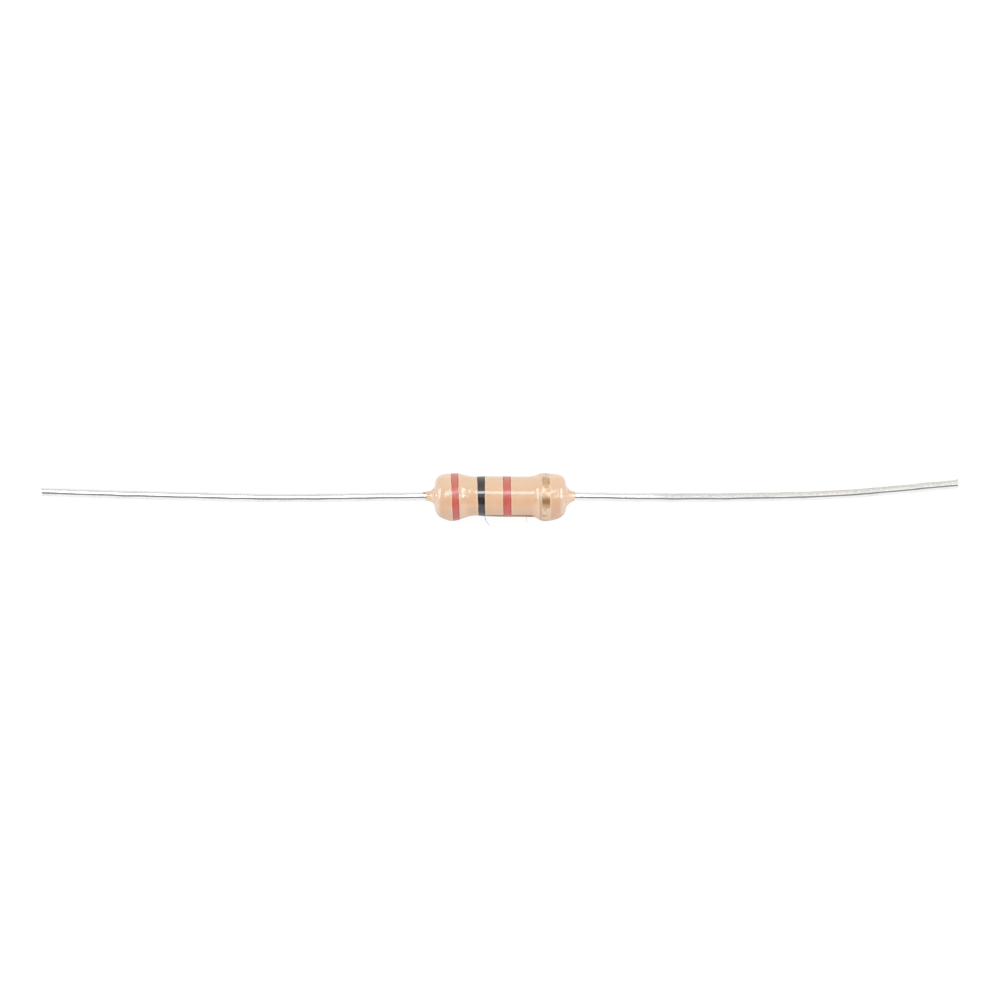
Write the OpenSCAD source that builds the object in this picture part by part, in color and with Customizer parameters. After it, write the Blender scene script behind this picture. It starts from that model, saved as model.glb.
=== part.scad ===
// Carbon-film resistor of half-watt size with a wire lead at each end, lying on its coat.
// X runs along the body towards the tolerance band, Z is up, and z = 0 is the surface it lies on.
// Both leads bend only sideways, in the level plane through the body's axis.

/* [Rod] */
// Diameter of the ceramic rod
rod_d = 2.4; // [2.1:0.05:2.8]
// Length of the ceramic rod
rod_l = 8.2; // [7.4:0.1:9.4]
// Chamfer at the rod's ends
rod_chamfer = 0.15; // [0.05:0.05:0.3]

/* [Film] */
// Thickness that stands in for the carbon film, which is really far thinner
film_t = 0.03; // [0.02:0.01:0.06]
// Turns of the spiral cut that trims the film
trim_turns = 6; // [3:1:8]
// Width of the spiral cut
trim_w = 0.2; // [0.1:0.05:0.3]
// Depth that the spiral cut goes into the ceramic
trim_depth = 0.05; // [0.03:0.01:0.1]
// Whole film between each cup's rim and the spiral cut
trim_margin = 0.45; // [0.2:0.05:0.8]

/* [End cups] */
// Sheet thickness of the pressed cups
cup_wall = 0.22; // [0.16:0.01:0.28]
// Length of a cup
cup_l = 1.7; // [1.3:0.1:2.1]
// Outer corner radius of a cup
cup_round = 0.3; // [0.15:0.05:0.4]

/* [Coat] */
// Thickness of the coat over the film at the ends of the waist
coat_over_film = 0.195; // [0.15:0.005:0.24]
// Swell of the waist at the middle of the body
waist_swell = 0.018; // [0:0.002:0.04]
// Thickness of the coat at the crown over each cup
coat_over_cup = 0.25; // [0.21:0.01:0.35]
// Distance from a cup's rim out to the crown
crown_in = 0.6; // [0.4:0.05:0.8]
// Distance from a cup's rim in to the waist, where the coat has run down the step
step_l = 0.55; // [0.3:0.05:0.9]
// Thickness of the coat over a cup's flat end
coat_over_end = 0.31; // [0.25:0.01:0.4]
// Fall of the coat from the crown to the shoulder
crown_drop = 0.41; // [0.3:0.01:0.45]
// Length of the shoulder's rounded edge
shoulder_round = 0.39; // [0.2:0.01:0.5]
// Length of the foot where the coat runs out along the wire
foot_l = 0.71; // [0.4:0.01:1]
// Height of the foot over the wire at the shoulder
foot_rise = 0.43; // [0.25:0.01:0.5]

/* [Colour bands] */
// Width of a painted band
band_w = 0.53; // [0.35:0.01:0.7]
// Thickness of the paint
band_t = 0.02; // [0.01:0.005:0.04]
// Place of the first band along the body
band_1_x = -3.17; // [-3.5:0.01:-2.8]
// Place of the second band along the body
band_2_x = -1.34; // [-1.8:0.01:-1]
// Place of the third band along the body
band_3_x = 0.48; // [0.1:0.01:0.9]
// Place of the tolerance band along the body
band_4_x = 3.25; // [2.8:0.01:3.5]
// Slant of the first band
band_1_slant = 2.2; // [0:0.1:4]
// Slant of the second band
band_2_slant = 0.9; // [0:0.1:4]

/* [Wire] */
// Diameter of the lead wire
wire_d = 0.6; // [0.5:0.02:0.7]
// Length of each lead from the coat's shoulder to its cut tip
lead_l = 28; // [26:0.5:34]
// Diameter of the upset head that is welded to a cup
head_d = 1.1; // [0.9:0.05:1.3]
// Thickness of the head's rim
head_t = 0.06; // [0.04:0.01:0.1]
// Radius of the fillet between the head and the wire
head_fillet = 0.12; // [0.06:0.01:0.14]

/* [Root bends] */
// Straight wire between the coat's foot and the root bend
root_run = 0.2; // [0.1:0.05:0.6]
// Length of the root bend
root_bend_l = 1; // [0.6:0.1:1.5]
// Turn of the root bend, away from the side that the tips lean to
root_turn = 1; // [0.5:0.1:2]

/* [Left lead] */
// Start of the first bend from the shoulder
left_bend_1_at = 8; // [5:0.5:10]
// Length of the first bend
left_bend_1_l = 6; // [3:0.5:8]
// Turn of the first bend
left_bend_1_turn = 2.4; // [1:0.1:6]
// Start of the second bend from the shoulder
left_bend_2_at = 20.8; // [18.6:0.1:22]
// Length of the second bend
left_bend_2_l = 2; // [1:0.5:3]
// Turn of the second bend
left_bend_2_turn = 0.8; // [0.4:0.1:4]

/* [Right lead] */
// Start of the first bend from the shoulder
right_bend_1_at = 4; // [3.2:0.1:5.5]
// Length of the first bend
right_bend_1_l = 9; // [6:0.5:10]
// Turn of the first bend
right_bend_1_turn = 2.2; // [1:0.1:6]
// Start of the second bend from the shoulder
right_bend_2_at = 15.8; // [15:0.1:17]
// Length of the second bend
right_bend_2_l = 7; // [3:0.5:8]
// Turn of the second bend
right_bend_2_turn = 4.2; // [1:0.1:8]

/* [Hidden] */

ceramic_white = [0.93, 0.91, 0.87];
carbon_grey = [0.24, 0.23, 0.23];
cup_tin = [0.70, 0.70, 0.70];
wire_tin = [0.82, 0.82, 0.83];
coat_tan = [0.90, 0.75, 0.61];
band_red = [0.79, 0.41, 0.37];
band_black = [0.25, 0.21, 0.21];
band_gold = [0.76, 0.63, 0.44];

// Radii and places along the axis that the pieces share
film_r = rod_d / 2 + film_t;
cup_r = film_r + cup_wall;
wire_r = wire_d / 2;
cup_floor_x = rod_l / 2;
cup_face_x = cup_floor_x + cup_wall;
cup_rim_x = cup_face_x - cup_l;
shoulder_x = cup_face_x + coat_over_end;
crown_x = cup_rim_x + crown_in;
waist_x = cup_rim_x - step_l;
foot_x = shoulder_x + foot_l;

waist_r = film_r + coat_over_film;
crown_r = cup_r + coat_over_cup;
foot_r = wire_r + foot_rise;
foot_lip = 0.02;
shoulder_power = 2.5;

// Height of the axis, with the painted crowns on the surface
axis_z = crown_r + band_t;

// Steps of the curved outlines
corner_steps = 6;
fillet_steps = 4;
waist_steps = 5;
slope_steps = 9;
crown_steps = 8;
shoulder_steps = 6;
foot_steps = 6;
spiral_steps = 18;
smooth = 96;

// A bent stretch is drawn a hair thinner, and its ends run a little way into the straight wire
bend_thin = 0.004;
bend_lap = 0.4;

function smoothstep(u) = u * u * (3 - 2 * u);
function flip(points) = [for (i = [len(points) - 1:-1:0]) [points[i][0], -points[i][1]]];

// Outlines are lists of [radius, place along the axis], for the end towards +X.

// Outside of a cup, from its rim round the corner to the head of the lead
function cup_outline() = [
  [cup_r, cup_rim_x],
  for (i = [0:corner_steps])
    let (a = 90 * i / corner_steps)
      [cup_r - cup_round * (1 - cos(a)), cup_face_x - cup_round * (1 - sin(a))]
];

// Head of a lead and its fillet, from the cup's end out to the plain wire
function head_outline() = [
  [head_d / 2, cup_face_x],
  [head_d / 2, cup_face_x + head_t],
  for (i = [0:fillet_steps])
    let (a = 90 * i / fillet_steps)
      [wire_r + head_fillet * (1 - sin(a)), cup_face_x + head_t + head_fillet * (1 - cos(a))]
];

// Outer radius of the coat between the middle of the body and the shoulder
function crown_side(x) = crown_r - crown_drop * pow((x - crown_x) / (shoulder_x - crown_x), 2);
function shoulder_share(x) =
  pow(1 - pow(1 - min(1, (shoulder_x - x) / shoulder_round), shoulder_power), 1 / shoulder_power);
function coat_r(x) =
  x <= waist_x ? waist_r + waist_swell * (1 - pow(x / waist_x, 2))
  : x <= crown_x ? waist_r + (crown_r - waist_r) * smoothstep((x - waist_x) / (crown_x - waist_x))
  : foot_r + (crown_side(x) - foot_r) * shoulder_share(x);

// Outer radius of the foot between the shoulder and its end on the wire
function foot_outline_r(x) = wire_r + foot_lip + (foot_rise - foot_lip) * pow((foot_x - x) / foot_l, 2);

// Places along the axis where the coat's outline has a point
function spread(from, to, steps) = [for (i = [0:steps - 1]) from + (to - from) * i / steps];
body_places = [
  each spread(0, waist_x, waist_steps),
  each spread(waist_x, crown_x, slope_steps),
  each spread(crown_x, shoulder_x - shoulder_round, crown_steps),
  for (i = [0:shoulder_steps - 1])
    shoulder_x - shoulder_round * pow(1 - i / shoulder_steps, 2)
];
coat_half = [
  for (x = body_places) [coat_r(x), x],
  for (i = [0:foot_steps])
    let (x = shoulder_x + foot_l * i / foot_steps) [foot_outline_r(x), x]
];
coat_outline = [
  each flip([for (i = [1:len(coat_half) - 1]) coat_half[i]]),
  each coat_half
];
coat_table = [for (p = coat_outline) [p[1], p[0]]];

// Inside of the coat, which lies on the film, the cups, the heads and the wire
cavity_half = [[film_r, cup_rim_x], each cup_outline(), each head_outline(), [wire_r, foot_x]];

// Turns an outline round the body's axis
module revolve(points)
  translate([0, 0, axis_z])
    rotate([0, 90, 0])
      rotate_extrude($fn = smooth)
        polygon(points);

module mirror_if(left) mirror([left ? 1 : 0, 0, 0]) children();

// Spiral cutter of rectangular section, from just inside the ceramic to clear of the film
module spiral_cut() {
  steps = trim_turns * spiral_steps;
  reach = cup_rim_x - trim_margin;
  low_r = rod_d / 2 - trim_depth;
  high_r = film_r / cos(180 / spiral_steps) + film_t;
  section = [
    [low_r, -trim_w / 2], [high_r, -trim_w / 2], [high_r, trim_w / 2], [low_r, trim_w / 2]
  ];
  points = [
    for (i = [0:steps])
      let (a = 360 * i / spiral_steps, x = reach * (2 * i / steps - 1))
        for (c = section) [c[0] * cos(a), c[0] * sin(a), c[1] + x]
  ];
  faces = [
    [3, 2, 1, 0],
    [for (j = [0:3]) 4 * steps + j],
    for (i = [0:steps - 1])
      for (j = [0:3])
        let (a = 4 * i + j, b = 4 * i + (j + 1) % 4)
          each [[a, b + 4, a + 4], [a, b, b + 4]]
  ];
  translate([0, 0, axis_z])
    rotate([0, 90, 0])
      polyhedron(points, faces);
}

module ceramic_rod()
  color(ceramic_white)
    difference() {
      revolve([
        [0, -rod_l / 2], [rod_d / 2 - rod_chamfer, -rod_l / 2], [rod_d / 2, rod_chamfer - rod_l / 2],
        [rod_d / 2, rod_l / 2 - rod_chamfer], [rod_d / 2 - rod_chamfer, rod_l / 2], [0, rod_l / 2]
      ]);
      spiral_cut();
    }

module carbon_film() {
  half = rod_l / 2 - rod_chamfer;
  color(carbon_grey)
    difference() {
      revolve([[rod_d / 2, -half], [film_r, -half], [film_r, half], [rod_d / 2, half]]);
      spiral_cut();
    }
}

// A pressed cup, driven over the film until its floor meets the rod's end
module end_cup(left)
  color(cup_tin)
    mirror_if(left)
      revolve([
        [film_r, cup_rim_x], each cup_outline(),
        [0, cup_face_x], [0, cup_floor_x], [film_r, cup_floor_x]
      ]);

// A straight stretch of wire along +X from the origin
module wire_run(length)
  rotate([0, 90, 0])
    cylinder(r = wire_r, h = length, $fn = smooth);

// A bent stretch that leaves the origin along +X, towards +Y where turn is positive
module wire_bend(length, turn) {
  bend_r = length * 180 / (PI * abs(turn));
  lap = min(bend_lap, sqrt(bend_thin * bend_r)) * 180 / (PI * bend_r);
  mirror([0, turn < 0 ? 1 : 0, 0])
    translate([0, bend_r, 0])
      rotate([0, 0, -90 - lap])
        rotate_extrude(angle = abs(turn) + 2 * lap, $fn = 3600)
          translate([bend_r, 0])
            circle(r = wire_r - bend_thin, $fn = smooth);
}

// Lays the stretches [length, turn] of a wire end to end, where a turn of 0 is straight
module wire_path(stretches, i = 0) {
  if (i < len(stretches)) {
    length = stretches[i][0];
    turn = stretches[i][1];
    if (turn == 0) {
      wire_run(length);
      translate([length, 0, 0]) wire_path(stretches, i + 1);
    } else {
      bend_r = length * 180 / (PI * turn);
      wire_bend(length, turn);
      translate([bend_r * sin(turn), bend_r * (1 - cos(turn)), 0])
        rotate([0, 0, turn])
          wire_path(stretches, i + 1);
    }
  }
}

// A lead with its head: bends are [start from the shoulder, length, turn]
module lead(left, bends) {
  root_end = foot_l + root_run;
  color(wire_tin)
    mirror_if(left) {
      revolve([
        [0, cup_face_x], each head_outline(),
        [wire_r, shoulder_x + root_end], [0, shoulder_x + root_end]
      ]);
      translate([shoulder_x + root_end, 0, axis_z])
        wire_path([
          [root_bend_l, -root_turn],
          [bends[0][0] - root_end - root_bend_l, 0],
          [bends[0][1], bends[0][2]],
          [bends[1][0] - bends[0][0] - bends[0][1], 0],
          [bends[1][1], bends[1][2]],
          [lead_l - bends[1][0] - bends[1][1], 0]
        ]);
    }
}

module lead_left()
  lead(true, [
    [left_bend_1_at, left_bend_1_l, left_bend_1_turn],
    [left_bend_2_at, left_bend_2_l, left_bend_2_turn]
  ]);

module lead_right()
  lead(false, [
    [right_bend_1_at, right_bend_1_l, right_bend_1_turn],
    [right_bend_2_at, right_bend_2_l, right_bend_2_turn]
  ]);

// The lacquer coat: a dog bone that swells over both cups and runs out in a foot on each wire
module body_coat()
  color(coat_tan)
    revolve([
      each coat_outline,
      for (i = [len(cavity_half) - 1:-1:0]) cavity_half[i],
      for (p = cavity_half) [p[0], -p[1]]
    ]);

// A painted band that follows the coat's outline and is cut off square to a slanted line
module band(x, slant, paint) {
  room = crown_r * tan(abs(slant)) + 0.05;
  from = x - band_w / 2 - room;
  to = x + band_w / 2 + room;
  places = [from, for (p = coat_table) if (p[0] > from && p[0] < to) p[0], to];
  color(paint)
    intersection() {
      revolve([
        for (p = places) [lookup(p, coat_table), p],
        for (i = [len(places) - 1:-1:0]) [lookup(places[i], coat_table) + band_t, places[i]]
      ]);
      translate([x, 0, axis_z])
        rotate([0, 0, slant])
          cube([band_w, 3 * crown_r, 3 * crown_r], center = true);
    }
}

module band_1_red() band(band_1_x, band_1_slant, band_red);
module band_2_black() band(band_2_x, band_2_slant, band_black);
module band_3_red() band(band_3_x, 0, band_red);
module band_4_gold() band(band_4_x, 0, band_gold);

ceramic_rod();
carbon_film();
end_cup(true);  // end_cup_left
end_cup(false);  // end_cup_right
lead_left();
lead_right();
body_coat();
band_1_red();
band_2_black();
band_3_red();
band_4_gold();
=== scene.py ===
import math

import bpy
import numpy as np
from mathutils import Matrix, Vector


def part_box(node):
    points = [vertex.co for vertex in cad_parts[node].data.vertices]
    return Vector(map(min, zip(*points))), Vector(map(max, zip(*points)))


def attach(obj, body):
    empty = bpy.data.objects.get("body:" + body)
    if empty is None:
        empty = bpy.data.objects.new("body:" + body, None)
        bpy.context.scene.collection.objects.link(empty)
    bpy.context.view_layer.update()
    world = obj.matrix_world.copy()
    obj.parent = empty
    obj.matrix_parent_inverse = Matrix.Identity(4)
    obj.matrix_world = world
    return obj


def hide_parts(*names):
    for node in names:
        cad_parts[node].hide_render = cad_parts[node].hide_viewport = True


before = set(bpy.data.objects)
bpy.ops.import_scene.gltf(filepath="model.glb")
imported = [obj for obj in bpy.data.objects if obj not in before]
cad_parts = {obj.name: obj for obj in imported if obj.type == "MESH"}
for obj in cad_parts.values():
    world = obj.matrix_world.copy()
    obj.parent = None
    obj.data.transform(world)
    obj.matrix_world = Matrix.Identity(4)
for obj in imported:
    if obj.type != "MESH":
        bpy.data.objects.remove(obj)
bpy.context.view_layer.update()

print("frame loaded:", ", ".join(sorted(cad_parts)))

mm = 0.001
rodLow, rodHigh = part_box("ceramic_rod")
axisHeight = (rodLow.z + rodHigh.z) / 2 / mm  # the body's axis over the floor, in mm

# The photo looks down on the body from the front, 20 degrees off the vertical.
shot = {
    "elevation": 70,
    "focal": 120,
    "sensor": 36,
    "across": 71.02,       # mm that the picture is wide at the body's axis
    "centreX": -0.021,     # mm, middle of the picture along the body
    "belowAxis": 0.263,    # mm, middle of the picture under the body's axis
}
tilt = math.radians(shot["elevation"])
toCamera = Vector((0, -math.cos(tilt), math.sin(tilt)))
upInPicture = Vector((0, math.sin(tilt), math.cos(tilt)))
facing = math.pi - tilt  # angle round the axis, from +Y over the top, that faces the camera
bodyReach = 1.6  # mm, about the body's radius


def makeCamera():
    data = bpy.data.cameras.new("shot")
    data.lens = shot["focal"]
    data.sensor_width = shot["sensor"]
    data.sensor_fit = "HORIZONTAL"
    data.clip_start = 0.01
    data.clip_end = 20
    camera = bpy.data.objects.new("shot", data)
    bpy.context.scene.collection.objects.link(camera)
    target = (Vector((shot["centreX"], 0, axisHeight)) - upInPicture * shot["belowAxis"]) * mm
    camera.location = target + toCamera * (shot["across"] * mm * shot["focal"] / shot["sensor"])
    camera.rotation_euler = (math.pi / 2 - tilt, 0, 0)
    bpy.context.scene.camera = camera


makeCamera()
print("camera made")


def colour(red, green, blue):
    # a colour as a paint program gives it, 0 to 255, to the linear one that a shader takes
    parts = [c / 255 for c in (red, green, blue)]
    return (*[c / 12.92 if c <= 0.04 else ((c + 0.055) / 1.055) ** 2.4 for c in parts], 1)


class Value:
    # a socket that sums can be written with
    def __init__(self, finish, socket):
        self.finish = finish
        self.socket = socket

    def maths(self, operation, *terms):
        return self.finish.add("ShaderNodeMath", {"operation": operation}, dict(enumerate(terms)))

    def __add__(self, other):
        return self.maths("ADD", self, other)

    def __sub__(self, other):
        return self.maths("SUBTRACT", self, other)

    def __rsub__(self, other):
        return self.maths("SUBTRACT", other, self)

    def __mul__(self, other):
        return self.maths("MULTIPLY", self, other)

    def __truediv__(self, other):
        return self.maths("DIVIDE", self, other)

    def __rtruediv__(self, other):
        return self.maths("DIVIDE", other, self)

    __radd__ = __add__
    __rmul__ = __mul__

    def size(self):
        return self.maths("ABSOLUTE", self)

    def most(self, other):
        return self.maths("MAXIMUM", self, other)


# Painted sheen and shade: the body's colour shifts towards the back and the front of the picture: where from,
# where to and how much.
zones = {
    "back": (-0.78, -0.05),
    "backShare": 0.85,
    "fore": (0.25, 0.75),
    "foreShare": 0.8,
}


class Finish:
    # the nodes of one material, or of the world
    def __init__(self, owner):
        self.owner = owner
        owner.use_nodes = True
        self.tree = owner.node_tree
        self.tree.nodes.clear()

    def add(self, kind, settings=None, sockets=None, out=0):
        node = self.tree.nodes.new(kind)
        for name, setting in (settings or {}).items():
            setattr(node, name, setting)
        for key, value in (sockets or {}).items():
            if isinstance(value, Value):
                self.tree.links.new(value.socket, node.inputs[key])
            else:
                node.inputs[key].default_value = value
        return Value(self, node.outputs[out]) if node.outputs else None

    def place(self):
        # the place in mm, with the body's axis at height 0
        own = self.add("ShaderNodeTexCoord", out="Object")
        lowered = (0, 0, -axisHeight * mm)
        moved = self.add("ShaderNodeVectorMath", {"operation": "ADD"}, {0: own, 1: lowered})
        return self.add("ShaderNodeVectorMath", {"operation": "SCALE"}, {0: moved, "Scale": 1 / mm})

    def apart(self, place):
        x = self.add("ShaderNodeSeparateXYZ", None, {0: place})
        return x, Value(self, x.socket.node.outputs[1]), Value(self, x.socket.node.outputs[2])

    def stretched(self, place, factors):
        return self.add("ShaderNodeVectorMath", {"operation": "MULTIPLY"}, {0: place, 1: factors})

    def noise(self, place, scale, detail, roughness):
        sockets = {"Vector": place, "Scale": scale, "Detail": detail, "Roughness": roughness}
        return self.add("ShaderNodeTexNoise", None, sockets)

    def rise(self, value, start, end, low=0.0, high=1.0):
        # goes smoothly from low to high while the value goes from start to end
        sockets = {"Value": value, "From Min": start, "From Max": end, "To Min": low, "To Max": high}
        return self.add("ShaderNodeMapRange", {"interpolation_type": "SMOOTHSTEP"}, sockets)

    def blend(self, share, first, second):
        return self.add("ShaderNodeMix", {"data_type": "RGBA"}, {0: share, 6: first, 7: second}, out=2)

    def bump(self, height, depth):
        return self.add("ShaderNodeBump", None, {"Strength": 1, "Distance": depth * mm, "Height": height})

    def towardsFront(self, y, z):
        # from about -1 at the body's back edge in the picture to 1 at its front edge
        return (y * -upInPicture.y + z * -upInPicture.z) / bodyReach

    def towardsTop(self, y, z):
        # from about -1 on the body's under side in the picture to 1 on its upper side
        return (y * toCamera.y + z * toCamera.z) / bodyReach

    def paintedSheenZones(self, front, shade, back, fore):
        # painted sheen and shade: one colour towards the back of the picture, another towards the front
        shade = self.blend(self.rise(front, *zones["back"], zones["backShare"], 0.0), shade, back)
        return self.blend(self.rise(front, *zones["fore"], 0.0, zones["foreShare"]), shade, fore)

    def surface(self, sockets):
        shader = self.add("ShaderNodeBsdfPrincipled", None, sockets)
        self.add("ShaderNodeOutputMaterial", None, {"Surface": shader})
        return self.owner


# Distances run inwards from the shoulder, below zero along the foot, and each goes with a radius, in mm.
coat = {
    "leftShoulder": -4.637,
    "rightShoulder": 4.650,
    "leftProfile": [
        (-0.70, 0.318), (-0.60, 0.326), (-0.50, 0.340), (-0.36, 0.374), (-0.21, 0.455), (-0.09, 0.570),
        (-0.015, 0.72), (0.012, 0.93), (0.07, 1.14), (0.21, 1.357), (0.36, 1.470), (0.50, 1.535),
        (0.64, 1.584), (0.78, 1.625), (1.05, 1.672), (1.35, 1.684), (1.64, 1.656), (1.88, 1.594),
        (2.14, 1.510), (2.42, 1.434), (2.70, 1.395), (2.98, 1.382), (3.40, 1.407), (4.00, 1.424),
        (4.634, 1.437)],
    "rightProfile": [
        (-0.64, 0.322), (-0.56, 0.350), (-0.46, 0.386), (-0.32, 0.443), (-0.18, 0.565), (-0.05, 0.73),
        (0.0, 0.90), (0.025, 1.06), (0.10, 1.245), (0.20, 1.362), (0.31, 1.449), (0.42, 1.514),
        (0.53, 1.562), (0.82, 1.627), (1.10, 1.664), (1.40, 1.695), (1.63, 1.694), (1.83, 1.654),
        (1.95, 1.604), (2.12, 1.514), (2.22, 1.480), (2.40, 1.462), (2.60, 1.440), (3.00, 1.427),
        (3.80, 1.429), (4.653, 1.437)],
    # how far the wet coat ran towards the front before it set, along X
    "sagAt": [-5.4, -5.0, -4.6, -4.28, -3.86, -3.55, -3.2, -2.95, -2.7, -2.1, -1.4, -0.3,
              1.4, 2.1, 2.4, 2.65, 2.9, 3.5, 3.8, 4.1, 4.4, 4.6, 4.8, 5.0, 5.4],
    "sag": [-0.015, -0.015, -0.040, -0.019, 0.031, 0.074, 0.050, 0.024, 0.006, -0.028, -0.019, 0.012,
            0.029, 0.038, -0.004, 0.003, 0.050, 0.073, 0.046, 0.011, -0.015, -0.030, 0.030, 0.02, 0.0],
    "sagReach": 5.6,
    "sagStep": 0.02,
    "sagSoft": 10,  # steps on each side that round its corners off
    # place along X, angle from the side that faces the camera, reach along X and round the body, height
    "dents": [
        (-3.72, -6, 0.22, 0.34, -0.004), (-2.50, 2, 0.30, 0.30, -0.004), (-2.58, 32, 0.06, 0.60, 0.004),
        (-2.40, 28, 0.06, 0.50, 0.003), (2.81, 38, 0.06, 0.80, 0.008), (2.20, -8, 0.30, 0.40, 0.004),
        (3.78, 8, 0.20, 0.45, -0.004), (-4.10, 40, 0.30, 0.50, 0.005), (3.10, 46, 0.40, 0.30, -0.005)],
    "ripple": 0.0022,
    # share, radians for a mm along X, times round the body and start of each wave in the ripple
    "waves": [(0.5, 2.1, 2, 0.7), (0.35, 3.7, -3, 2.0), (0.3, 6.1, 1, 4.1), (0.25, 1.3, 5, 0.0)],
    "evenFrom": 5.0,  # the feet have neither ripple nor dents from here outwards
    "evenOver": 0.4,
    "spacing": 0.036,
    "around": 128,
}


def smoothThrough(points, spacing):
    # a smooth curve through the points, with a vertex about every spacing
    points = np.array(points, float)
    whole = np.vstack([2 * points[0] - points[1], points, 2 * points[-1] - points[-2]])
    curve = []
    for p0, p1, p2, p3 in zip(whole, whole[1:], whole[2:], whole[3:]):
        gaps = [max(1e-6, np.linalg.norm(b - a) ** 0.5) for a, b in ((p0, p1), (p1, p2), (p2, p3))]
        start = ((p1 - p0) / gaps[0] - (p2 - p0) / (gaps[0] + gaps[1]) + (p2 - p1) / gaps[1]) * gaps[1]
        end = ((p2 - p1) / gaps[1] - (p3 - p1) / (gaps[1] + gaps[2]) + (p3 - p2) / gaps[2]) * gaps[1]
        steps = max(1, round(np.linalg.norm(p2 - p1) / spacing))
        for t in np.arange(steps) / steps:
            curve.append((2 * t**3 - 3 * t**2 + 1) * p1 + (t**3 - 2 * t**2 + t) * start
                         + (3 * t**2 - 2 * t**3) * p2 + (t**3 - t**2) * end)
    curve.append(points[-1])
    return np.array(curve)


def coatProfile():
    left = smoothThrough(coat["leftProfile"], coat["spacing"])
    right = smoothThrough(coat["rightProfile"], coat["spacing"])
    left[:, 0] += coat["leftShoulder"]
    right[:, 0] = coat["rightShoulder"] - right[:, 0]
    return np.vstack([left, right[::-1][1:]])


def softSag():
    # the sag at small steps along X, with its corners rounded off
    x = np.arange(-coat["sagReach"], coat["sagReach"], coat["sagStep"])
    window = np.hanning(2 * coat["sagSoft"] + 1)
    sag = np.pad(np.interp(x, coat["sagAt"], coat["sag"]), coat["sagSoft"], "edge")
    return x, np.convolve(sag, window / window.sum(), "valid")


profile = coatProfile()
fineX, fineSag = softSag()


def coatSkin(x, turn):
    # distance from the axis of the coat's skin; turn is 0 towards the camera, in radians
    radius = np.interp(x, profile[:, 0], profile[:, 1])
    return radius + unevenness(x, turn)


def withinHalfTurn(turn):
    return np.mod(turn + math.pi, 2 * math.pi) - math.pi


def unevenness(x, turn):
    lift = coat["ripple"] * sum(share * np.sin(perMm * x + times * turn + start)
                                for share, perMm, times, start in coat["waves"])
    for place, degrees, reachX, reachRound, height in coat["dents"]:
        away = withinHalfTurn(turn - math.radians(degrees)) * bodyReach
        lift = lift + height * np.exp(-((x - place) / reachX) ** 2 - (away / reachRound) ** 2)
    return lift * np.clip((coat["evenFrom"] - np.abs(x)) / coat["evenOver"], 0, 1)


def onBody(x, radius, turn):
    # a place by its distance along the axis, from the axis, and its angle from the camera's side
    sag = np.interp(x, fineX, fineSag)
    y = radius * np.cos(turn + facing) - sag
    return np.stack([x, y, axisHeight + radius * np.sin(turn + facing)], axis=-1)


def ringFaces(rings, around, closed=False):
    faces = []
    for ring in range(rings if closed else rings - 1):
        low, high = ring * around, (ring + 1) % rings * around
        for i in range(around):
            j = (i + 1) % around
            faces.append((low + i, low + j, high + j, high + i))
    return faces


def endFaces(rings, around):
    # the two ends of a row of rings that isn't closed
    last = (rings - 1) * around
    return [tuple(range(around))[::-1], tuple(last + i for i in range(around))]


def meshPiece(name, points, faces, material, flatAngle=40, shares=None):
    mesh = bpy.data.meshes.new(name)
    mesh.from_pydata((np.asarray(points).reshape(-1, 3) * mm).tolist(), [], faces)
    mesh.validate()
    mesh.shade_smooth()
    mesh.set_sharp_from_angle(angle=math.radians(flatAngle))
    if shares is not None:
        layer = mesh.attributes.new("across", "FLOAT", "POINT")
        layer.data.foreach_set("value", np.asarray(shares, float).reshape(-1))
    mesh.materials.append(material)
    piece = bpy.data.objects.new(name, mesh)
    bpy.context.scene.collection.objects.link(piece)
    return piece


# Threads that the wet paint and the wet coat drew out under the body, by their points in mm.
threads = {
    "radius": 0.013,
    "taper": (1.25, 0.65),  # times the radius, where it starts and where it ends
    "spacing": 0.05,
    "around": 6,
    "black": [(-1.12, -1.26, 1.24), (-1.06, -1.42, 0.98), (-0.98, -1.50, 0.62), (-0.86, -1.57, 0.28),
              (-0.74, -1.62, 0.03)],
    "coat": [(1.86, -1.32, 1.12), (1.87, -1.46, 0.86), (1.86, -1.52, 0.64), (1.89, -1.55, 0.48)],
}


def withThread(points, faces, name):
    around, (thick, thin) = threads["around"], threads["taper"]
    angles = np.arange(around) / around * 2 * math.pi
    path = smoothThrough(threads[name], threads["spacing"])
    rings = []
    for i, place in enumerate(path):
        ahead = path[min(i + 1, len(path) - 1)] - path[max(i - 1, 0)]
        ahead /= np.linalg.norm(ahead)
        side = np.cross(ahead, (1, 0, 0))
        side /= np.linalg.norm(side)
        other = np.cross(ahead, side)
        radius = threads["radius"] * (thick + (thin - thick) * i / (len(path) - 1))
        rings.append(place + radius * (np.cos(angles)[:, None] * side + np.sin(angles)[:, None] * other))
    more = ringFaces(len(rings), around) + endFaces(len(rings), around)
    faces = faces + [tuple(len(points) + i for i in face) for face in more]
    return np.vstack([points, np.array(rings).reshape(-1, 3)]), faces


# The pressed cups, film and wire heads that the coat sets round: radius by place along X, in mm.
core = {
    "wire": 0.303,
    "head": 0.553,
    "headFace": 4.383,
    "fillet": 0.12,
    "cupFace": 4.323,
    "cup": 1.453,
    "cupRound": 0.3,
    "cupRim": 2.617,
    "film": 1.233,
    "arcSteps": 7,
}


def coreProfile():
    c = core
    half = [(c["cupRim"], c["film"]), (c["cupRim"], c["cup"])]
    half += [(c["cupFace"] - c["cupRound"] * (1 - math.sin(a)), c["cup"] - c["cupRound"] * (1 - math.cos(a)))
             for a in np.linspace(0, math.pi / 2, c["arcSteps"])]
    half += [(c["cupFace"], c["head"]), (c["headFace"], c["head"])]
    half += headFillet(c["wire"])
    return np.array([(-x, r) for x, r in half[::-1]] + half)


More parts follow.
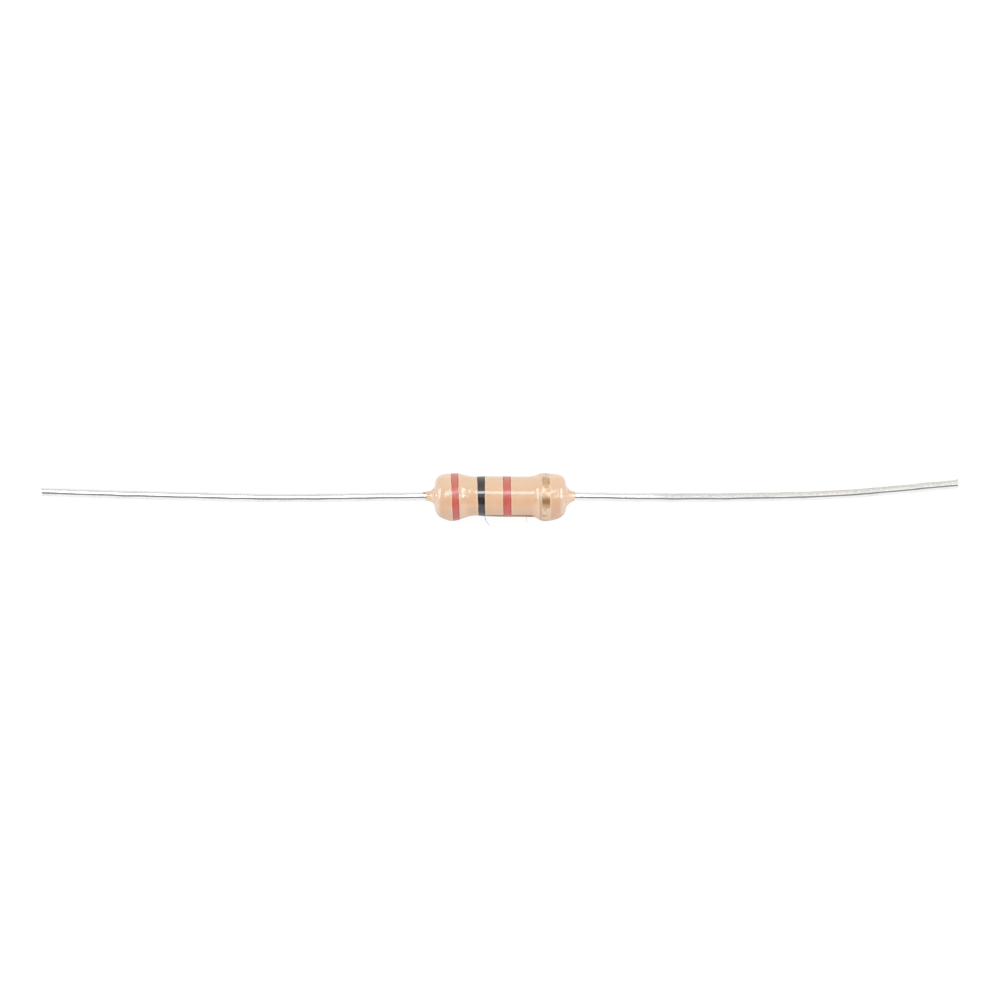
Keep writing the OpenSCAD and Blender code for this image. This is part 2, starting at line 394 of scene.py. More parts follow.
def headFillet(wireRadius):
    # the weld between a wire's head and the wire
    face, fillet = core["headFace"], core["fillet"]
    return [(face + fillet * (1 - math.cos(a)), wireRadius + fillet * (1 - math.sin(a)))
            for a in np.linspace(0, math.pi / 2, core["arcSteps"])]


def makeCoat(material):
    around = coat["around"]
    turns = np.arange(around) / around * 2 * math.pi
    rings = []
    for x, radius in profile:
        place = x + footShift(x, turns)
        rings.append(onBody(place, radius + unevenness(x, turns), turns))
    rightLip = onBody(rings[-1][:, 0], core["wire"], turns)
    leftLip = onBody(rings[0][:, 0], core["wire"], turns)
    inner = [onCore(x, radius, turns) for x, radius in coreProfile()[::-1]]
    rings = rings + [rightLip] + inner + [leftLip]
    faces = ringFaces(len(rings), around, closed=True)
    points, faces = withThread(np.array(rings).reshape(-1, 3), faces, "coat")
    return meshPiece("bodyCoat", points, faces, material)


# The coat's torn ends on the wires, in mm along X, and in radians round the wire from the camera's side.
feet = {
    "leftFrom": -4.95, "leftOver": 0.35, "leftShift": 0.055,
    "sliver": 0.19, "sliverTurn": -0.85, "sliverReach": 0.42,   # a sliver that runs on along the left wire
    "leftWaves": [(0.018, 3, 1), (0.012, 7, 0)],
    "rightFrom": 5.0, "rightOver": 0.3, "rightShift": -0.02,
    "rightSlant": 0.05, "rightSlantTurn": 0.6,
    "rightWaves": [(0.015, 3, 2)],
    "setsIn": 1.5,
}


def footShift(x, turns):
    # how far the skin moves along X near the torn ends
    turns = withinHalfTurn(turns)
    left = np.clip((feet["leftFrom"] - x) / feet["leftOver"], 0, 1) ** feet["setsIn"]
    right = np.clip((x - feet["rightFrom"]) / feet["rightOver"], 0, 1) ** feet["setsIn"]
    sliver = feet["sliver"] * np.exp(-((turns - feet["sliverTurn"]) / feet["sliverReach"]) ** 2)
    slant = feet["rightSlant"] * np.cos(turns + feet["rightSlantTurn"])
    leftEnd = feet["leftShift"] - sliver + tornWaves(turns, feet["leftWaves"])
    rightEnd = feet["rightShift"] + slant + tornWaves(turns, feet["rightWaves"])
    return left * leftEnd + right * rightEnd


def tornWaves(turns, waves):
    return sum(height * np.sin(times * turns + start) for height, times, start in waves)


def onCore(x, radius, turn):
    # like onBody, but what the coat covers has no sag
    return np.stack([np.full(len(turn), x), radius * np.cos(turn + facing),
                     axisHeight + radius * np.sin(turn + facing)], axis=-1)


# Band edges in mm along X, at the back (top of the picture) and at the front (bottom of the picture).
bands = {
    "thick": 0.007,
    "sunk": 0.006,
    "thinEdge": 0.05,   # share of the width over which the paint thins out at each edge
    "across": 14,
    "underEvery": 3,    # its under side has one ring for so many on top
    "around": 160,
    "wobble": 0.012,
    "waves": [(0.6, 2, 1), (0.5, 5, 2.3), (0.35, 11, 1)],   # share, times round and times the seed
    "rightSeed": 1.7,   # more than the seed of the left edge
    "bandRedFirst": {"left": (-3.487, -3.352), "right": (-2.990, -2.855), "seed": 1.0},
    "bandBlack": {"left": (-1.655, -1.535), "right": (-1.088, -1.062), "seed": 2.4},
    "bandRedSecond": {"left": (0.185, 0.218), "right": (0.745, 0.798), "seed": 4.1},
    "bandGold": {"left": (2.960, 2.940), "right": (3.530, 3.510), "seed": 5.3},
}


def bandEdge(ends, turns, seed):
    back, front = ends
    wave = sum(share * np.sin(times * turns + seeds * seed) for share, times, seeds in bands["waves"])
    return (back + front) / 2 + (front - back) / 2 * np.sin(turns) + bands["wobble"] * wave


def makeBand(name, material):
    around = bands["around"]
    turns = np.arange(around) / around * 2 * math.pi
    left = bandEdge(bands[name]["left"], turns, bands[name]["seed"])
    right = bandEdge(bands[name]["right"], turns, bands[name]["seed"] + bands["rightSeed"])
    shares = (1 - np.cos(np.linspace(0, math.pi, bands["across"]))) / 2
    rings, across = [], []
    for share in shares:
        place = left + (right - left) * share
        height = bands["thick"] * min(1, min(share, 1 - share) / bands["thinEdge"]) ** 0.5
        rings.append(onBody(place, coatSkin(place, turns) + height, turns))
        across.append(np.full(around, share))
    for share in shares[::-1][::bands["underEvery"]]:
        place = left + (right - left) * share
        rings.append(onBody(place, coatSkin(place, turns) - bands["sunk"], turns))
        across.append(np.full(around, share))
    faces = ringFaces(len(rings), around, closed=True)
    points, across = np.array(rings).reshape(-1, 3), np.array(across).reshape(-1)
    if name == "bandBlack":
        points, faces = withThread(points, faces, "black")
        across = np.pad(across, (0, len(points) - len(across)))
    return meshPiece(name, points, faces, material, shares=across)


# Both leads run level. Each run is a length in mm and a turn in degrees, from the coat's foot to the cut tip.
wire = {
    "radius": 0.3,
    "start": 5.54,        # where the runs begin, just outside the coat's foot
    "headThick": 0.06,
    "clear": 0.003,       # what the head stays inside the coat by
    "straightFrom": 4.6,  # the straight run inside the coat
    "straightStep": 0.12,
    "left": [(1, -0.93), (6.09, 0), (6, 2.4), (6.8, 0), (2, 0.5), (4.92, 0)],
    "right": [(1, -1.25), (2.09, 0), (9, 2.4), (2.8, 0), (7, 4.6), (4.92, 0)],
    "spacing": 0.09,
    "around": 40,
    "freeFrom": 1.2,      # mm along the wire where the sway and the flats set in
    "freeOver": 1.5,
    "seed": {"left": 0.4, "right": 2.1},
    "sway": 0.006,
    # share, radians for a mm and times the seed of the waves it sways by, sideways and up
    "swayWaves": [[(1, 1.9, 1), (0.6, 3.3, 2)], [(1, 1.5, 3), (0.6, 4.1, 1)]],
    "flats": 0.0025,
    "ovalTwist": 0.9, "ovalWave": 2.3,
    "lobeTwist": 1.7, "lobeShare": 0.5,
    # how far the cut has come, the width left and the reach in mm, ring by ring
    "tip": [(0.15, 1.0, 0.08), (0.45, 1.0, 0.15), (0.85, 0.99, 0.21), (1.0, 0.93, 0.235)],
    "burr": {"left": 0.09, "right": 0.08},
    "burrLift": 0.2,
    "slant": {"left": 0.05, "right": 0.0},
}


def leadPath(runs):
    places, heading = [np.array([wire["start"], 0.0])], 0.0
    for length, turn in runs:
        steps = max(2, round(length / wire["spacing"]))
        for _ in range(steps):
            heading += math.radians(turn) / steps / 2
            places.append(places[-1] + length / steps * np.array([math.cos(heading), math.sin(heading)]))
            heading += math.radians(turn) / steps / 2
    return np.array(places)


def coveredWire():
    # the head, its weld and the straight run inside the coat: place along X and radius
    head = core["head"] - wire["clear"]
    covered = [(core["headFace"] - wire["headThick"], head), (core["headFace"] - wire["clear"], head)]
    covered += headFillet(wire["radius"])
    straight = np.arange(wire["straightFrom"], wire["start"], wire["straightStep"])
    return covered + [(x, wire["radius"]) for x in straight]


def swayAt(run, seed):
    # how far the wire wanders sideways and up
    return np.array([sum(share * math.sin(run * perMm + seeds * seed) for share, perMm, seeds in waves)
                     for waves in wire["swayWaves"]])


def flatsAt(run, turns, seed):
    # the wire is a little oval and three-sided by turns
    oval = np.sin(2 * turns + run * wire["ovalTwist"]) * math.sin(run * wire["ovalWave"] + seed)
    return oval + wire["lobeShare"] * np.sin(3 * turns - run * wire["lobeTwist"] + seed)


def makeLead(name, material):
    # made along +X, and the left one is then mirrored
    around, seed = wire["around"], wire["seed"][name]
    turns = np.arange(around) / around * 2 * math.pi
    stations = [(np.array([x, 0.0]), radius) for x, radius in coveredWire()]
    stations += [(place, wire["radius"]) for place in leadPath(wire[name])]
    rings, run = [], 0.0
    backwards = np.cos(turns) * upInPicture.y + np.sin(turns) * upInPicture.z
    for i, (place, radius) in enumerate(stations):
        ahead = stations[min(i + 1, len(stations) - 1)][0] - stations[max(i - 1, 0)][0]
        ahead /= np.linalg.norm(ahead)
        run += np.linalg.norm(place - stations[max(i - 1, 0)][0])
        free = min(1, max(0, (run - wire["freeFrom"]) / wire["freeOver"]))
        sway = wire["sway"] * free * swayAt(run, seed)
        uneven = radius + wire["flats"] * free * flatsAt(run, turns, seed)
        across = np.array([-ahead[1], ahead[0]])
        out = uneven * np.cos(turns) + sway[0]
        x = place[0] + across[0] * out
        y = place[1] + across[1] * out
        z = axisHeight + uneven * np.sin(turns) + sway[1]
        rings.append(np.stack([x, y, z], axis=-1))
    rings += cutTip(rings[-1], ahead, name)
    points = np.array(rings)
    faces = ringFaces(len(rings), around) + endFaces(len(rings), around)
    if name == "left":
        points[:, :, 0] *= -1
        faces = [face[::-1] for face in faces]
    shares = np.tile(backwards, len(rings))
    return meshPiece("lead" + name.capitalize(), points, faces, material, shares=shares)


def cutTip(ring, ahead, name):
    # the cutter leaves a slanted face and draws the wire out into a burr at its back
    middle = ring.mean(axis=0)
    spread = ring - middle
    back = np.clip(spread[:, 1:2] / wire["radius"], -1, 1)
    forward = np.array([ahead[0], ahead[1], 0])
    drawnTo = np.array([0, 1, wire["burrLift"]]) * wire["burr"][name]
    rings = []
    for share, width, reach in wire["tip"]:
        slant = forward * (reach + wire["slant"][name] * share * back)
        burr = drawnTo * share * np.clip(back, 0, 1) ** 2
        rings.append(middle + spread * width + slant + burr)
    return rings


lacquer = {
    "tan": colour(237, 194, 158),
    "warm": colour(232, 187, 149),
    "pale": colour(242, 209, 177),     # painted sheen, paler towards the back
    "pink": colour(234, 193, 164),     # painted reflection, pinker towards the front
    "run": colour(160, 88, 42),        # painted shade: brown line along the body's lower edge in the picture
    # painted shade in the crease beside the fold
    "creaseShade": colour(214, 168, 137),
    "crown": colour(222, 176, 141),
    # paler where the coat is thin over the shoulders, and painted light towards the front and on the slopes
    "shoulder": colour(249, 214, 187),
    "rim": colour(243, 214, 184),      # clear edge of the ink beside each band
    "tornEnd": colour(196, 166, 122),
    # painted sheen along the body's back edge in the picture
    "paintedBackSheen": colour(254, 217, 182),
    "gloss": 0.10,
    "glossTint": (0.34, 0.88, 1.0, 1),   # keeps a highlight on the tan cream, not orange
    "mottle": 0.9,
    "peel": 0.0011,     # mm deep
    "rimWidth": 0.075,
    "rimShare": 0.6,
    # where each shade sets in, in mm from the body's middle
    "crownFrom": (3.3, 3.8),
    "shoulderFrom": (4.12, 4.45),
    "slopeFrom": (2.2, 2.5), "slopeTo": (2.65, 2.95), "slopeShare": 0.45,
    "tornFrom": (5.28, 5.46),
    "foldAt": 2.68, "foldShare": 0.75,
    "creaseAt": 2.86,
    "edgeShadeFrom": (-1.12, -1.0), "edgeShadeTo": (2.1, 2.6),
    # and how far towards the front or the back of the picture, from -1 to 1
    "backEdgeTo": (-0.88, -0.74), "backEdgeShare": 0.8,
    "edgeShadeFront": (0.828, 0.866),
}


def bandRims(f, x, front):
    # 1 just beside each band, where its clear ink runs out
    rims = 0
    for name in ("bandRedFirst", "bandBlack", "bandRedSecond", "bandGold"):
        (leftBack, leftFront), (rightBack, rightFront) = bands[name]["left"], bands[name]["right"]
        middle = (leftBack + leftFront + rightBack + rightFront) / 4
        slant = (leftFront - leftBack + rightFront - rightBack) / 4
        half = (rightBack + rightFront - leftBack - leftFront) / 4
        outside = (x - (front * slant + middle)).size() - half
        fades = f.rise(outside, 0.05, lacquer["rimWidth"] + 0.03, 1.0, 0.0)
        rims = f.rise(outside, 0.0, 0.03) * fades + rims
    return rims


def lacquerFinish():
    f = Finish(bpy.data.materials.new("tanLacquer"))
    place = f.place()
    x, y, z = f.apart(place)
    out = x.size()  # from the body's middle, either way
    front = f.towardsFront(y, z)
    cloud = f.noise(place, lacquer["mottle"], 3, 0.55)
    grain = f.noise(place, 9, 3, 0.6)
    shade = f.blend(f.rise(cloud * 0.8 + grain * 0.2, 0.36, 0.64), lacquer["tan"], lacquer["warm"])
    shade = f.paintedSheenZones(front, shade, lacquer["pale"], lacquer["pink"])
    # painted sheen along the back edge
    paintedBackSheen = f.rise(front, *lacquer["backEdgeTo"], lacquer["backEdgeShare"], 0.0)
    shade = f.blend(paintedBackSheen, shade, lacquer["paintedBackSheen"])
    # deeper over the crowns, most on the right; paler over the shoulders and feet where the coat is thin, and
    # more so towards the front as painted light
    crown = f.rise(out, *lacquer["crownFrom"]) * f.rise(front, 0.0, 0.2) * f.rise(x, -1, 1, 0.2, 0.55)
    shade = f.blend(crown, shade, lacquer["crown"])
    shoulder = f.rise(out, *lacquer["shoulderFrom"], 0.0, 0.8) * f.rise(front, -0.3, 0.3, 0.5, 1.0)
    shade = f.blend(shoulder, shade, lacquer["shoulder"])
    # painted light: paler on the slopes beside the crowns, towards the front
    paintedSlopeLight = f.rise(out, *lacquer["slopeFrom"]) * f.rise(out, *lacquer["slopeTo"], 1.0, 0.0)
    paintedSlopeLight = paintedSlopeLight * f.rise(front, 0.15, 0.45) * lacquer["slopeShare"]
    shade = f.blend(paintedSlopeLight, shade, lacquer["shoulder"])
    shade = f.blend(bandRims(f, x, front) * lacquer["rimShare"], shade, lacquer["rim"])
    shade = f.blend(f.rise(out + grain * 0.1, *lacquer["tornFrom"]), shade, lacquer["tornEnd"])
    # a fold where the coat climbs onto the right cup, with a painted highlight along it and painted shade in
    # the crease beside it
    foldHighlight = f.rise((x - lacquer["foldAt"]).size(), 0.03, 0.10, 1.0, 0.0)
    foldHighlight = foldHighlight * f.rise(front, 0.05, 0.2) * f.rise(front, 0.7, 0.85, 1.0, 0.0) * lacquer["foldShare"]
    shade = f.blend(foldHighlight, shade, lacquer["rim"])
    creaseShade = f.rise((x - lacquer["creaseAt"]).size(), 0.05, 0.10, 1.0, 0.0)
    creaseShade = creaseShade * f.rise(front, 0.0, 0.3, 0.25, 0.75)
    shade = f.blend(creaseShade, shade, lacquer["creaseShade"])
    # painted shade along the body's lower edge in the picture: a narrow ragged brown line, which thins out
    # towards the right
    lowSide = f.towardsTop(y, z) + cloud * 0.3 + grain * 0.05 - f.rise(x, 0.4, 2.6, 0.0, 0.05)
    run = f.rise(front + grain * 0.03, *lacquer["edgeShadeFront"]) * f.rise(lowSide, 0.21, 0.31)
    run = run * f.rise(x, *lacquer["edgeShadeFrom"]) * f.rise(x, *lacquer["edgeShadeTo"], 1.0, 0.0)
    shade = f.blend(run, shade, lacquer["run"])
    peel = f.noise(place, 2.6, 2, 0.5)
    pores = f.noise(place, 22, 2, 0.5)
    normal = f.bump(peel + pores * 0.05, lacquer["peel"])
    rough = f.rise(cloud, 0.3, 0.7, lacquer["gloss"] - 0.02, lacquer["gloss"] + 0.04)
    return f.surface({"Base Color": shade, "Roughness": rough, "IOR": 1.5, "Specular IOR Level": 0.5,
                      "Specular Tint": lacquer["glossTint"], "Normal": normal})


# In each paint, back and fore are painted sheen and shade towards the back and the front of the picture.
paints = {
    "streaky": 0.002,   # mm deep
    "red": {"body": colour(209, 92, 77), "rim": colour(188, 70, 62), "streak": colour(214, 107, 92),
            "back": colour(216, 129, 113), "fore": colour(209, 104, 99), "gloss": 0.22, "shine": 0.75,
            "glossTint": lacquer["glossTint"]},
    "black": {"body": colour(42, 31, 31), "rim": colour(36, 28, 29), "streak": colour(57, 45, 46),
              "back": colour(66, 51, 52), "fore": colour(46, 36, 38), "gloss": 0.055, "shine": 0.9,
              "glossTint": (1, 1, 1, 1)},
}


def paintFinish(name):
    p = paints[name]
    f = Finish(bpy.data.materials.new(name + "Paint"))
    place = f.place()
    across = f.add("ShaderNodeAttribute", {"attribute_name": "across"}, out="Fac")
    # the wheel leaves fine streaks round the body
    streaks = f.noise(f.stretched(place, (13, 0.5, 0.5)), 1, 3, 0.6)
    cloud = f.noise(place, 2.2, 2, 0.5)
    shade = f.blend(f.rise(streaks * 0.7 + cloud * 0.3, 0.42, 0.62), p["body"], p["streak"])
    x, y, z = f.apart(place)
    shade = f.paintedSheenZones(f.towardsFront(y, z), shade, p["back"], p["fore"])
    rim = f.rise((across - 0.5).size(), 0.32, 0.47)
    shade = f.blend(rim * 0.8, shade, p["rim"])
    normal = f.bump(streaks * 0.8 + cloud * 0.3, paints["streaky"])
    rough = f.rise(cloud, 0.3, 0.7, p["gloss"] - 0.03, p["gloss"] + 0.05)
    return f.surface({"Base Color": shade, "Roughness": rough, "IOR": 1.5, "Specular IOR Level": p["shine"],
                      "Specular Tint": p["glossTint"], "Normal": normal})


gold = {
    "leaf": colour(220, 180, 140),
    "shadow": colour(201, 159, 117),
    "paintedDarkReflection": colour(146, 100, 60),     # painted reflection of the dark room in the leaf
    "fleck": colour(140, 102, 70),
    # the lacquer where the leaf is worn through, also used for the painted pale reflection
    "bareAndSheen": colour(238, 209, 184),
    "metal": 0.10,
    "bareMetal": 0.15,
    "gloss": 0.36,
    "grainy": 0.009,    # mm deep
    # where the painted dark reflection sets in and ends, towards the front of the picture
    "paintedDarkReflectionFrom": (-0.04, 0.17), "paintedDarkReflectionTo": (0.28, 0.47), "paintedDarkReflectionShare": 0.85,
    "fleckShare": 0.7,
    "wearAndSheenFrom": (0.57, 0.73), "wearAndSheenShare": 0.9,
    "coat": 0.15, "coatGloss": 0.16,
}


def goldFinish():
    f = Finish(bpy.data.materials.new("goldPaint"))
    place = f.place()
    across = f.add("ShaderNodeAttribute", {"attribute_name": "across"}, out="Fac")
    grain = f.noise(place, 16, 3, 0.7)
    cloud = f.noise(place, 3.2, 3, 0.6)
    shade = f.blend(f.rise(grain * 0.6 + cloud * 0.4, 0.4, 0.62), gold["shadow"], gold["leaf"])
    x, y, z = f.apart(place)
    front = f.towardsFront(y, z)
    ragged = front + grain * 0.16 - 0.08
    paintedDarkReflection = f.rise(ragged, *gold["paintedDarkReflectionFrom"]) * f.rise(ragged, *gold["paintedDarkReflectionTo"], 1.0, 0.0)
    shade = f.blend(paintedDarkReflection * gold["paintedDarkReflectionShare"], shade, gold["paintedDarkReflection"])
    flecks = f.rise(f.noise(f.stretched(place, (1.6, 1, 1)), 5.4, 2, 0.5), 0.63, 0.70)
    shade = f.blend(flecks * gold["fleckShare"], shade, gold["fleck"])
    # worn through to the lacquer here and there, more so at the edges, and paler towards the front and the
    # back of the picture as a painted reflection
    # painted reflection: paler towards the front and the back of the picture
    thin = f.rise(front, 0.40, 0.62, 0.0, 0.16) + f.rise(front, -0.92, -0.75, 0.25, 0.0)
    wearAndSheen = f.rise(cloud + (across - 0.5).size() * 0.12 + thin, *gold["wearAndSheenFrom"])
    wearAndSheen = wearAndSheen * (1 - flecks * 0.2) * (1 - paintedDarkReflection)
    shade = f.blend(wearAndSheen * gold["wearAndSheenShare"], shade, gold["bareAndSheen"])
    normal = f.bump(grain + cloud * 0.5, gold["grainy"])
    rough = f.rise(grain, 0.3, 0.7, gold["gloss"] - 0.05, gold["gloss"] + 0.10)
    metal = f.rise(wearAndSheen, 0, 1, gold["metal"], gold["bareMetal"])
    return f.surface({"Base Color": shade, "Metallic": metal, "Roughness": rough, "IOR": 1.5,
                      "Specular Tint": lacquer["glossTint"], "Coat Weight": gold["coat"],
                      "Coat Roughness": gold["coatGloss"], "Normal": normal})


tin = {
    "bright": colour(246, 246, 247),
    "dull": colour(214, 214, 216),
    "scuffed": colour(227, 224, 219),
    "scuffedDeep": colour(200, 197, 192),
    "gloss": 0.10,
    "uneven": 0.003,    # mm deep
    "scuffedFrom": (9, 14),   # mm from the body's middle
    "scuffedDuller": 0.4,
}


def tinnedFinish():
    f = Finish(bpy.data.materials.new("tinnedWire"))
    place = f.place()
    ripple = f.noise(f.stretched(place, (0.7, 2.0, 2.0)), 1, 3, 0.5)
    drawn = f.noise(f.stretched(place, (0.6, 26, 26)), 1, 2, 0.5)
    pits = f.noise(place, 11, 3, 0.6)
    shade = f.blend(f.rise(pits * 0.6 + ripple * 0.4, 0.5, 0.72), tin["bright"], tin["dull"])
    # the right lead is scuffed along its back
    across = f.add("ShaderNodeAttribute", {"attribute_name": "across"}, out="Fac")
    x, y, z = f.apart(place)
    scuffed = f.rise(x + ripple * 3, *tin["scuffedFrom"]) * f.rise(across + pits * 0.1, -0.03, 0.12)
    scuffed = scuffed * f.rise(pits, 0.25, 0.45, 0.75, 1.0)
    scuff = f.blend(f.rise(pits * 0.7 + drawn * 0.3, 0.42, 0.58), tin["scuffed"], tin["scuffedDeep"])
    shade = f.blend(scuffed, shade, scuff)
    normal = f.bump(ripple + drawn * 0.05 + pits * 0.06, tin["uneven"])
    rough = f.rise(pits, 0.35, 0.75, tin["gloss"] - 0.02, tin["gloss"] + 0.10)
    rough = rough + scuffed * tin["scuffedDuller"]
    return f.surface({"Base Color": shade, "Metallic": 1 - scuffed, "Roughness": rough, "Normal": normal})


inside = {
    "ceramic": colour(238, 233, 222),
    "ceramicFleck": colour(206, 196, 180),
    "carbon": colour(62, 58, 58),
    "carbonBrown": colour(84, 72, 64),
    "cup": colour(206, 204, 200),
    "cupDull": colour(168, 165, 160),
    "ceramicGrain": 0.006,   # mm deep, as the next two
    "carbonGrain": 0.003,
    "cupGrain": 0.004,
    "carbonMetal": 0.25,
}


def ceramicFinish():
    f = Finish(bpy.data.materials.new("rodCeramic"))
    place = f.place()
    grain = f.noise(place, 14, 4, 0.65)
    flecks = f.rise(f.noise(place, 6, 2, 0.5), 0.62, 0.72)
    speckle = f.rise(grain, 0.3, 0.7, 0, 0.35) + flecks * 0.5
    shade = f.blend(speckle, inside["ceramic"], inside["ceramicFleck"])
    return f.surface({"Base Color": shade, "Roughness": f.rise(grain, 0.3, 0.7, 0.62, 0.8),
                      "Normal": f.bump(grain, inside["ceramicGrain"])})


def carbonFinish():
    f = Finish(bpy.data.materials.new("fixedCarbon"))
    place = f.place()
    cloud = f.noise(place, 1.6, 3, 0.5)
    grain = f.noise(place, 20, 3, 0.6)
    shade = f.blend(f.rise(cloud, 0.35, 0.7), inside["carbon"], inside["carbonBrown"])
    return f.surface({"Base Color": shade, "Roughness": f.rise(grain, 0.3, 0.7, 0.32, 0.48),
                      "Metallic": inside["carbonMetal"], "Normal": f.bump(grain, inside["carbonGrain"])})


def cupFinish():
    f = Finish(bpy.data.materials.new("cupTinPlate"))
    place = f.place()
    drawn = f.noise(f.stretched(place, (0.8, 9, 9)), 1, 3, 0.6)
    stains = f.noise(place, 1.8, 4, 0.6)
    shade = f.blend(f.rise(stains * 0.6 + drawn * 0.4, 0.4, 0.65), inside["cup"], inside["cupDull"])
    return f.surface({"Base Color": shade, "Metallic": 1.0, "Roughness": f.rise(stains, 0.3, 0.7, 0.2, 0.34),
                      "Normal": f.bump(drawn, inside["cupGrain"])})


body = makeCoat(lacquerFinish())
print("coat made:", len(body.data.polygons), "faces")
redPaint = paintFinish("red")
made = {
    "body_coat": (body, "coat_lacquer"),
    "band_1_red": (makeBand("bandRedFirst", redPaint), "red_paint"),
    "band_2_black": (makeBand("bandBlack", paintFinish("black")), "black_paint"),
    "band_3_red": (makeBand("bandRedSecond", redPaint), "red_paint"),
    "band_4_gold": (makeBand("bandGold", goldFinish()), "gold_paint"),
}
print("bands made")
wireMaterial = tinnedFinish()
made["lead_left"] = (makeLead("left", wireMaterial), "tinned_wire")
made["lead_right"] = (makeLead("right", wireMaterial), "tinned_wire")
print("leads made")
for node, (piece, slot) in made.items():
    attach(piece, "root")
    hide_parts(node)

kept = {"ceramic_rod": ceramicFinish(), "carbon_film": carbonFinish()}
kept["end_cup_left"] = kept["end_cup_right"] = cupFinish()
for node, material in kept.items():
    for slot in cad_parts[node].material_slots:
        slot.material = material
print("inner pieces finished")


# Directions are angles in degrees from the camera: back towards the top of the picture, and along X.
studio = {
    "skyBack": 0.56, "skyFront": 0.66,   # how bright the room is behind and before the object
    "keyPower": 1.98, "keyAway": 0.90, "keySize": (0.57, 0.24), "keyBack": 20,
    "sidePower": 1.35, "sideAway": 0.90, "sideSize": (0.60, 0.30), "sideBack": 20, "sideAlong": 50,
    "cardAway": 0.75, "cardSteps": 12,
    "contactX": (-5.0, 5.0), "contactY": (-1.75, 1.2), "contactUp": 0.01,
    "contactShade": (0.45, 0.43, 0.42),
    "floorHalf": 1.5, "floorColour": (0.90, 0.90, 0.90, 1), "floorWhite": 1.04,
    "floorGlow": 0.91, "floorGlowInGloss": 0.45,
}


# What only glosses show: corners as angles along X and back, and brightness.
cards = {
    "darkCard": ([(-50, -50), (50, -50), (50, -12), (-50, -2)], (0.27, 0.27, 0.27)),
    "greyCard": ([(-50, 51), (50, 51), (50, 94), (-50, 94)], (0.75, 0.73, 0.70)),
    "keyCard": ([(-12, 13.5), (7.5, 15.5), (7.5, 30), (-12, 28)], (8.5, 8.5, 8.5)),
    "keyCardLeft": ([(-39, -3), (-12, 15), (-12, 37), (-36, 22)], (7.6, 7.6, 7.6)),
    "keyCardRight": ([(15, 17), (25.5, 17), (25.5, 37), (15, 37)], (8.0, 8.0, 8.0)),
    "lowCard": ([(26, -16), (34, -16), (32, 9), (25, 9)], (5.0, 5.0, 5.0)),
    "leftCard": ([(-75, -24), (-58, -20), (-44, 58), (-73, 64)], (8.3, 8.3, 8.3)),
    "rightCard": ([(63, -24), (75, -24), (73, 66), (52, 62)], (9.3, 9.3, 9.3)),
    "rightStrip": ([(37.0, -10), (43, -10), (35.5, 49), (30.2, 49)], (12, 12, 12)),
}


def seenDirectly(f, byGloss=1):
    # 1 for what the camera sees, and byGloss for what it sees in a gloss
    outputs = f.add("ShaderNodeLightPath").socket.node.outputs
    camera, glossy = [Value(f, outputs[name]) for name in ("Is Camera Ray", "Is Glossy Ray")]
    return camera.most(glossy * byGloss)


def makeWorld():
    world = bpy.data.worlds.new("studio")
    bpy.context.scene.world = world
    f = Finish(world)
    x, y, z = f.apart(f.add("ShaderNodeTexCoord", out="Generated"))
    room = f.rise(y, -1, 1, studio["skyFront"], studio["skyBack"])
    seen = seenDirectly(f)
    strength = seen + (1 - seen) * room
    sky = f.add("ShaderNodeBackground", None, {"Color": (1, 1, 1, 1), "Strength": strength})
    f.add("ShaderNodeOutputWorld", None, {"Surface": sky})


def onDome(along, back, away):
    along, back = math.radians(along), math.radians(back)
    direction = (toCamera * math.cos(back) + upInPicture * math.sin(back)) * math.cos(along)
    return (direction + Vector((math.sin(along), 0, 0))) * away


def makeLamp(name, along, back, away, size, power):
    data = bpy.data.lights.new(name, "AREA")
    data.shape = "RECTANGLE"
    data.size, data.size_y = size
    data.energy = power
    lamp = bpy.data.objects.new(name, data)
    lamp.location = onDome(along, back, away)
    lamp.rotation_euler = lamp.location.to_track_quat("Z", "Y").to_euler()
    lamp.visible_glossy = False  # the cards below stand for it there
    bpy.context.scene.collection.objects.link(lamp)


def makeSheet(name, points, material, steps):
    # points run row by row, one more than steps in each row
    width = steps + 1
    starts = [row * width + i for row in range(steps) for i in range(steps)]
    faces = [(start, start + 1, start + width + 1, start + width) for start in starts]
    mesh = bpy.data.meshes.new(name)
    mesh.from_pydata(points, [], faces)
    mesh.materials.append(material)
    sheet = bpy.data.objects.new(name, mesh)
    bpy.context.scene.collection.objects.link(sheet)
    return sheet


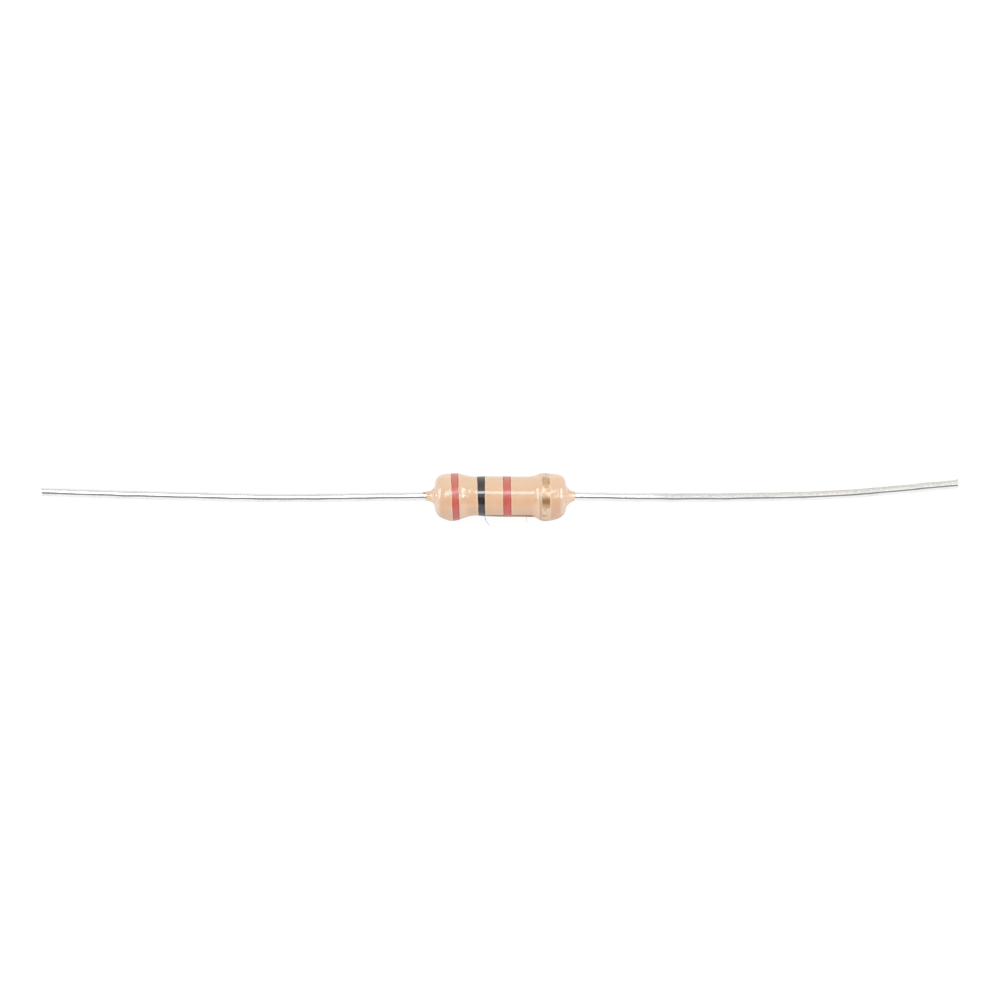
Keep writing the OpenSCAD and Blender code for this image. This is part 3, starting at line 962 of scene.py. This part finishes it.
def makeGlow(name, points, shade, steps):
    f = Finish(bpy.data.materials.new(name))
    glow = f.add("ShaderNodeEmission", None, {"Color": (*shade, 1)})
    f.add("ShaderNodeOutputMaterial", None, {"Surface": glow})
    sheet = makeSheet(name, points, f.owner, steps)
    sheet.visible_camera = sheet.visible_diffuse = sheet.visible_transmission = sheet.visible_shadow = False


def makeCard(name):
    corners, shade = cards[name]
    low, lowEnd, highEnd, high = [Vector(corner) for corner in corners]
    steps, points = studio["cardSteps"], []
    for up in range(steps + 1):
        for along in range(steps + 1):
            start, end = low.lerp(lowEnd, along / steps), high.lerp(highEnd, along / steps)
            points.append(onDome(*start.lerp(end, up / steps), studio["cardAway"]))
    makeGlow(name, points, shade, steps)


def makeContact():
    # painted shade: a dim sheet just over the floor under the body, seen only in glosses, for the shadowed
    # floor there, which the body's lower edge mirrors
    (left, right), (front, back) = studio["contactX"], studio["contactY"]
    points = [(x * mm, y * mm, studio["contactUp"] * mm) for y in (front, back) for x in (left, right)]
    makeGlow("contact", points, studio["contactShade"], 1)


def makeFloor():
    f = Finish(bpy.data.materials.new("paleFloor"))
    paper = f.add("ShaderNodeBsdfDiffuse", None, {"Color": studio["floorColour"]})
    glow = f.add("ShaderNodeEmission", None, {"Color": (1, 1, 1, 1), "Strength": studio["floorWhite"]})
    seen = seenDirectly(f, studio["floorGlowInGloss"] / studio["floorGlow"]) * studio["floorGlow"]
    mixed = f.add("ShaderNodeMixShader", None, {0: seen, 1: paper, 2: glow})
    f.add("ShaderNodeOutputMaterial", None, {"Surface": mixed})
    half = studio["floorHalf"]
    points = [(x, y, 0) for y in (-half, half) for x in (-half, half)]
    makeSheet("paleFloor", points, f.owner, 1)


makeWorld()
makeLamp("keyLamp", 0, studio["keyBack"], studio["keyAway"], studio["keySize"], studio["keyPower"])
for side in (-1, 1):
    makeLamp("sideLamp", side * studio["sideAlong"], studio["sideBack"], studio["sideAway"],
             studio["sideSize"], studio["sidePower"])
for name in cards:
    makeCard(name)
makeContact()
makeFloor()
bpy.context.scene.view_settings.view_transform = "Standard"
print("studio made")
